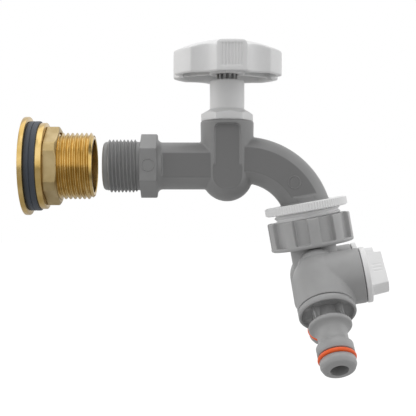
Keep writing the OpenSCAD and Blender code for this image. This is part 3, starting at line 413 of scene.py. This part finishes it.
# %% Hose tails and their rings
near_tail = exact("near_moulded_tail", "near_hose_tail", "splitter", "mid_grey_plastic")
far_tail = exact("far_moulded_tail", "far_hose_tail", "splitter", "mid_grey_plastic")
near_ring = exact("near_orange_ring", "near_connector_o_ring", "splitter", "orange_rubber", 60)
far_ring = exact("far_orange_ring", "far_connector_o_ring", "splitter", "orange_rubber", 60)

# %% [markdown]
# Materials. Colours are written as they look on screen and turned to linear by one function. Each material
# is named for what the real one is made of and how. One function adds a node, with its settings, the values
# on its sockets and the links into it, and another spreads two colours over a noise.

# %% Material helpers
def linear(hex_colour):
    channels = [int(hex_colour[i:i + 2], 16) / 255 for i in (1, 3, 5)]
    return [c / 12.92 if c <= 0.04045 else ((c + 0.055) / 1.055) ** 2.4 for c in channels] + [1.0]


def scaled(colour, share):
    return [min(1, c * share) for c in colour[:3]] + [1]


def material(name):
    made = bpy.data.materials.new(name)
    made.use_nodes = True
    print("material:", name)
    return made, made.node_tree, made.node_tree.nodes["Principled BSDF"]


def add(tree, kind, settings=(), values=(), links=()):
    node = tree.nodes.new(kind)
    for key, value in dict(settings).items():
        setattr(node, key, value)
    for key, value in dict(values).items():
        node.inputs[key].default_value = value
    for source, socket in links:
        tree.links.new(source, node.inputs[socket])
    return node


def two_colours(tree, noise, low, high, start=0.0, end=1.0):
    ramp = add(tree, "ShaderNodeValToRGB", {}, {}, [(noise.outputs["Fac"], "Fac")])
    first, last = ramp.color_ramp.elements
    first.position, last.position = start, end
    first.color, last.color = low, high
    return ramp.outputs["Color"]


def dress(finish, *pieces):
    for piece in pieces:
        piece.data.materials.clear()
        piece.data.materials.append(finish)

# %% [markdown]
# Moulded plastic for water fittings is nylon or polypropylene with a satin skin. The tool leaves a very fine
# spark-eroded grain, and the colour drifts a little where the melt flowed. Two noises give this: one of some
# 12 mm for the drift of colour and gloss, and one of 0.35 mm for the grain, a little coarser than the real
# one so that it shows. The tap's recessed flat side panels are made duller than the polished rest, and their
# colour is painted darker, as painted shade in the recesses. They are found by where they lie, 9.75 to 11.05
# mm off the middle, and by facing sideways.

# %% Moulded plastics
# Mask of the tap's recessed side panels: it makes them duller and carries the painted shade on their colour.
def panel_shade_and_dullness_share(tree, coords):
    place_of = add(tree, "ShaderNodeSeparateXYZ", {}, {}, [(coords.outputs["Object"], "Vector")])
    facing = add(tree, "ShaderNodeSeparateXYZ", {}, {}, [(coords.outputs["Normal"], "Vector")])
    off_middle = add(tree, "ShaderNodeMath", {"operation": "ABSOLUTE"}, {}, [(place_of.outputs["Y"], 0)])
    in_band = add(tree, "ShaderNodeMath", {"operation": "COMPARE"}, {1: 10.4 * MM, 2: 0.65 * MM},
                  [(off_middle.outputs[0], 0)])
    sideways = add(tree, "ShaderNodeMath", {"operation": "ABSOLUTE"}, {}, [(facing.outputs["Y"], 0)])
    flat = add(tree, "ShaderNodeMapRange", {}, {"From Min": 0.90, "From Max": 0.98},
               [(sideways.outputs[0], "Value")])
    return add(tree, "ShaderNodeMath", {"operation": "MULTIPLY"}, {},
               [(in_band.outputs[0], 0), (flat.outputs["Result"], 1)]).outputs[0]


def moulded_plastic(name, colour, roughness, drift=0.06, shaded_dull_panels=False):
    made, tree, skin = material(name)
    coords = add(tree, "ShaderNodeTexCoord")
    flow = add(tree, "ShaderNodeTexNoise", {}, {"Scale": 1 / (12 * MM), "Detail": 3.0},
               [(coords.outputs["Object"], "Vector")])
    base = linear(colour)
    tint = two_colours(tree, flow, scaled(base, 1 - drift), scaled(base, 1 + drift), 0.3, 0.7)
    gloss = add(tree, "ShaderNodeMapRange", {}, {"To Min": roughness - 0.05, "To Max": roughness + 0.06},
                [(flow.outputs["Fac"], "Value")])
    dull = gloss.outputs["Result"]
    if shaded_dull_panels:
        panel_shade_and_dullness = panel_shade_and_dullness_share(tree, coords)
        # Painted shade: on the panels the colour is darkened to 74 percent of the base.
        tint = add(tree, "ShaderNodeMix", {"data_type": "RGBA"}, {7: scaled(base, 0.74)},
                   [(panel_shade_and_dullness, 0), (tint, 6)]).outputs[2]
        dull = add(tree, "ShaderNodeMath", {"operation": "MULTIPLY_ADD"}, {1: 0.12},
                   [(panel_shade_and_dullness, 0), (dull, 2)]).outputs[0]
    tree.links.new(tint, skin.inputs["Base Color"])
    tree.links.new(dull, skin.inputs["Roughness"])
    grain = add(tree, "ShaderNodeTexNoise", {}, {"Scale": 1 / (0.35 * MM), "Detail": 2.0},
                [(coords.outputs["Object"], "Vector")])
    bump = add(tree, "ShaderNodeBump", {}, {"Strength": 0.06, "Distance": 0.05 * MM},
               [(grain.outputs["Fac"], "Height")])
    tree.links.new(bump.outputs["Normal"], skin.inputs["Normal"])
    skin.inputs["IOR"].default_value = 1.5
    return made


# Glass-filled nylon: a stone grey, satin on the round faces, duller on the panels and painted darker there as
# painted shade.
nylon_body = moulded_plastic("moulded nylon, mid grey", "#878787", 0.42, shaded_dull_panels=True)
# The body's nylon, made lighter on the stem: painted light on the shaft, which sits in shade under the wheel.
nylon_stem_painted_light = moulded_plastic("moulded nylon, lighter grey", "#b4b4b4", 0.42)
# Polypropylene: a softer, slightly waxy grey; the nut's batch is a shade paler.
polypropylene = moulded_plastic("moulded polypropylene, grey", "#a0a0a0", 0.40)
polypropylene_nut = moulded_plastic("moulded polypropylene, pale grey", "#adadad", 0.40)
# ABS: the pale, even and smooth skin of wheel, cap and bonnet.
abs_light = moulded_plastic("moulded ABS, light grey", "#e2e2e2", 0.38, 0.02)
# Acetal: nearly white and the glossiest of the plastics.
acetal_pale = moulded_plastic("moulded acetal, off-white", "#ececec", 0.36, 0.015)

# %% [markdown]
# The brass is turned bar, left bright and a little dull. The tool leaves fine rings round the axis, seen as a
# brushed sheen; the rings follow the distance along the axis and the distance from it. A noise of 7 mm
# mixes a brighter and a browner brass, as handling tarnishes it.

# %% Turned metals
def turned_metal(name, light, dark, roughness):
    made, tree, skin = material(name)
    coords = add(tree, "ShaderNodeTexCoord")
    apart = add(tree, "ShaderNodeSeparateXYZ", {}, {}, [(coords.outputs["Object"], "Vector")])
    across = add(tree, "ShaderNodeCombineXYZ", {}, {},
                 [(apart.outputs["Y"], "Y"), (apart.outputs["Z"], "Z")])
    radius = add(tree, "ShaderNodeVectorMath", {"operation": "LENGTH"}, {}, [(across.outputs[0], 0)])
    along = add(tree, "ShaderNodeMath", {"operation": "ADD"}, {},
                [(apart.outputs["X"], 0), (radius.outputs["Value"], 1)])
    rings = add(tree, "ShaderNodeTexNoise", {"noise_dimensions": "1D"},
                {"Scale": 1 / (0.25 * MM), "Detail": 3.0}, [(along.outputs[0], "W")])
    bump = add(tree, "ShaderNodeBump", {}, {"Strength": 0.25, "Distance": 0.02 * MM},
               [(rings.outputs["Fac"], "Height")])
    tree.links.new(bump.outputs["Normal"], skin.inputs["Normal"])
    tarnish = add(tree, "ShaderNodeTexNoise", {}, {"Scale": 1 / (7 * MM), "Detail": 4.0},
                  [(coords.outputs["Object"], "Vector")])
    tree.links.new(two_colours(tree, tarnish, linear(dark), linear(light), 0.35, 0.65),
                   skin.inputs["Base Color"])
    skin.inputs["Metallic"].default_value = 1.0
    skin.inputs["Roughness"].default_value = roughness
    return made


# Turned bar: warm yellow with clear reflections on flange and thread.
brass_bar = turned_metal("turned brass bar", "#ccb076", "#b6995c", 0.24)
# The nut is sawn and milled: the same metal, duller and greyer.
brass_milled = turned_metal("turned brass, dull", "#b3a078", "#a08c62", 0.42)
# The two hidden screws: plain grey steel.
steel = turned_metal("turned stainless steel", "#b9bbbe", "#a4a7ab", 0.30)

# %% [markdown]
# Seals are moulded nitrile rubber, dull, with a faint bloom on the skin. One noise of 3 mm gives both the
# drift in colour and the slight unevenness.

# %% Rubber
def moulded_rubber(name, colour, roughness):
    made, tree, skin = material(name)
    coords = add(tree, "ShaderNodeTexCoord")
    bloom = add(tree, "ShaderNodeTexNoise", {}, {"Scale": 1 / (3 * MM), "Detail": 5.0},
                [(coords.outputs["Object"], "Vector")])
    base = linear(colour)
    tree.links.new(two_colours(tree, bloom, scaled(base, 0.85), scaled(base, 1.12)), skin.inputs["Base Color"])
    bump = add(tree, "ShaderNodeBump", {}, {"Strength": 0.15, "Distance": 0.05 * MM},
               [(bloom.outputs["Fac"], "Height")])
    tree.links.new(bump.outputs["Normal"], skin.inputs["Normal"])
    skin.inputs["Roughness"].default_value = roughness
    return made


# Washers: a blue-black that takes almost no highlight.
nitrile = moulded_rubber("moulded nitrile rubber, black", "#39404a", 0.55)
# Connector rings: the one strong colour on the object, a little shinier where they are greased.
orange_nitrile = moulded_rubber("moulded nitrile rubber, orange", "#ff6424", 0.42)

# %% [markdown]
# Every new piece gets its finish, and every solid gets the finish that its slot in the record stands for,
# also where it is hidden.

# %% Dress every piece
dress(brass_bar, tube, slip)
dress(brass_milled, backnut)
dress(nitrile, inner_washer, outer_washer)
dress(nylon_body, tap, spigot, collar_mark, spout_mark)
dress(nylon_stem_painted_light, stem)
dress(abs_light, bonnet, wheel, cap)
dress(acetal_pale, adapter, near_knob, far_knob)
dress(polypropylene_nut, nut)
dress(polypropylene, splitter, near_tail, far_tail)
dress(orange_nitrile, near_ring, far_ring)

by_slot = {
    "brass": brass_bar, "black_rubber": nitrile, "dark_grey_plastic": nylon_body,
    "light_grey_plastic": abs_light, "pale_grey_plastic": acetal_pale,
    "mid_grey_plastic": polypropylene, "orange_rubber": orange_nitrile, "steel": steel,
}
slot_of = {row["node"]: row["material_slot"] for row in frame["record"]["subparts"]}
for node, solid in frame["nodes"].items():
    dress(by_slot[slot_of[node]], solid)
print("solids dressed:", len(frame["nodes"]))

# %% [markdown]
# The object stands over a white paper floor. The camera sees the floor almost at full white through its glow,
# and it still takes the object's soft shadow. A small share of the glow shows in reflections.

# %% Floor
floor_mesh = bpy.data.meshes.new("floor")
bm = bmesh.new()
bmesh.ops.create_grid(bm, x_segments=1, y_segments=1, size=3.0)
bmesh.ops.translate(bm, verts=bm.verts, vec=(0.09, 0, -0.15))
bm.to_mesh(floor_mesh)
bm.free()
floor = bpy.data.objects.new("floor", floor_mesh)
bpy.context.collection.objects.link(floor)
paper, tree, skin = material("white paper floor")
skin.inputs["Base Color"].default_value = (0.55, 0.55, 0.55, 1)
skin.inputs["Roughness"].default_value = 0.9
skin.inputs["Specular IOR Level"].default_value = 0.1
glow = add(tree, "ShaderNodeEmission", {}, {"Color": (1, 1, 1, 1), "Strength": 1.12})
path = add(tree, "ShaderNodeLightPath")
mirrored = add(tree, "ShaderNodeMath", {"operation": "MULTIPLY"}, {1: 0.08},
               [(path.outputs["Is Glossy Ray"], 0)])
share = add(tree, "ShaderNodeMath", {"operation": "MULTIPLY_ADD"}, {1: 0.9},
            [(path.outputs["Is Camera Ray"], 0), (mirrored.outputs[0], 2)])
mix = add(tree, "ShaderNodeMixShader", {}, {},
          [(share.outputs[0], 0), (skin.outputs[0], 1), (glow.outputs[0], 2)])
tree.links.new(mix.outputs[0], tree.nodes["Material Output"].inputs["Surface"])
dress(paper, floor)

# %% [markdown]
# The room behind the camera is darker than the white walls round the table, so faces that look at the camera
# come out darker than the edges and sides. What the brass mirrors there is even from the lens upwards and
# falls off towards the ground, which gives it the dark lower edge of the photograph. The camera itself, and
# anything seen through glass, gets plain white.

# %% Room
FRONT_LEVEL, BACK_LEVEL, EXTRA_FROM_ABOVE = 0.49, 0.60, 0.30
MIRRORED_GROUND, MIRRORED_WALL = 0.15, 1.5

world = bpy.data.worlds.new("studio")
bpy.context.scene.world = world
world.use_nodes = True
tree = world.node_tree
room = tree.nodes["Background"]
room.inputs["Color"].default_value = (1, 1, 1, 1)
coords = add(tree, "ShaderNodeTexCoord")
apart = add(tree, "ShaderNodeSeparateXYZ", {}, {}, [(coords.outputs["Generated"], "Vector")])
path = add(tree, "ShaderNodeLightPath")
from_front = add(tree, "ShaderNodeMapRange", {},
                 {"From Min": -1.0, "From Max": 1.0, "To Min": FRONT_LEVEL, "To Max": BACK_LEVEL},
                 [(apart.outputs["Y"], "Value")])
from_above = add(tree, "ShaderNodeMapRange", {},
                 {"From Min": 0.0, "From Max": 1.0, "To Min": 0.0, "To Max": EXTRA_FROM_ABOVE},
                 [(apart.outputs["Z"], "Value")])
soft = add(tree, "ShaderNodeMath", {"operation": "ADD"}, {},
           [(from_front.outputs["Result"], 0), (from_above.outputs["Result"], 1)])
lower_wall = add(tree, "ShaderNodeMapRange", {},
                 {"From Min": -0.5, "From Max": 0.0, "To Min": MIRRORED_GROUND, "To Max": MIRRORED_WALL},
                 [(apart.outputs["Z"], "Value")])
behind_camera = add(tree, "ShaderNodeMapRange", {}, {"From Min": -0.3, "From Max": -0.6},
                    [(apart.outputs["Y"], "Value")])
mirrored = add(tree, "ShaderNodeMix", {"data_type": "FLOAT"}, {2: 1.0},
               [(behind_camera.outputs["Result"], 0), (lower_wall.outputs["Result"], 3)])
by_ray = add(tree, "ShaderNodeMix", {"data_type": "FLOAT"}, {},
             [(path.outputs["Is Glossy Ray"], 0), (soft.outputs[0], 2), (mirrored.outputs[0], 3)])
looked_at = add(tree, "ShaderNodeMath", {"operation": "MAXIMUM"}, {},
                [(path.outputs["Is Camera Ray"], 0), (path.outputs["Is Transmission Ray"], 1)])
level = add(tree, "ShaderNodeMix", {"data_type": "FLOAT"}, {3: 1.0},
            [(looked_at.outputs[0], 0), (by_ray.outputs[0], 2)])
tree.links.new(level.outputs[0], room.inputs["Strength"])
print("room level: front", FRONT_LEVEL, "back", BACK_LEVEL, "from above +", EXTRA_FROM_ABOVE)

# %% [markdown]
# Three large soft lamps, as in a product photographer's tent: one overhead, one on the left and a weaker one
# on the right, all aimed at the middle of the object. Their levels stay low enough for the pale plastics to
# keep their form from every side.

# %% Lamps
def lamp(name, place_at, size, power, aim=(0.09, 0, -0.02)):
    data = bpy.data.lights.new(name, "AREA")
    data.shape = "SQUARE"
    data.size = size
    data.energy = power
    made = bpy.data.objects.new(name, data)
    bpy.context.collection.objects.link(made)
    made.location = place_at
    direction = Vector(aim) - Vector(place_at)
    made.rotation_euler = direction.to_track_quat("-Z", "Y").to_euler()
    print(name, power, "W")


lamp("overhead softbox", (0.06, 0.05, 0.70), 0.8, 1.75)
lamp("left softbox", (-0.55, 0.0, 0.08), 0.6, 1.3)
lamp("right softbox", (0.75, 0.0, 0.06), 0.6, 0.8)
bpy.context.scene.view_settings.view_transform = "Standard"
